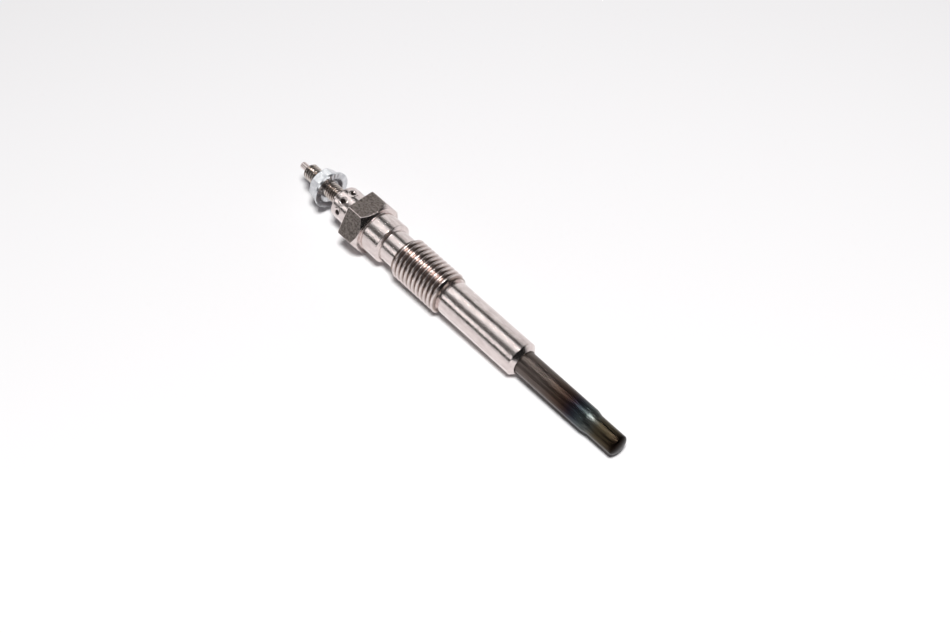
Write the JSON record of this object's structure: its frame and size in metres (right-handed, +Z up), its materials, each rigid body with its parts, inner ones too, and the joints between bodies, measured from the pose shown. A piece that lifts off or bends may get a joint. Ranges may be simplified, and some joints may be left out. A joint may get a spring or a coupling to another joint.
{
  "type": "diesel glow plug",
  "caption": "Diesel glow plug: plated hex body with a fine thread and cone seat, a heater tube swaged thinner at its tip, and an insulated terminal stud with a flange nut.",
  "frame": {"origin": "on the surface that the plug lies on, below the middle of its length", "axes": "+X runs along the plug from the terminal to the heater tip, +Z is up, and Y runs across it"},
  "size_m": [0.1023, 0.0138, 0.0122],
  "materials": {
    "nickel_plate": "bright nickel plate over turned steel",
    "stud_steel": "bright plated thread",
    "zinc_plate": "bluish zinc plate",
    "heater_alloy": "swaged nickel alloy with heat tint towards the tip",
    "resistance_wire": "drawn wire",
    "phenolic": "moulded, dark brown",
    "seal_rubber": "moulded rubber",
    "magnesia": "pressed white powder"
  },
  "bodies": {
    "root": {"housing": "nickel_plate", "center_electrode": "stud_steel", "terminal_nut": "zinc_plate", "round_nut": "nickel_plate", "insulating_bush": "phenolic", "o_ring": "seal_rubber", "heater_sheath": "heater_alloy", "sheath_seal": "seal_rubber", "control_coil": "resistance_wire", "heating_coil": "resistance_wire", "magnesia_filling": "magnesia"}
  },
  "joints": []
}
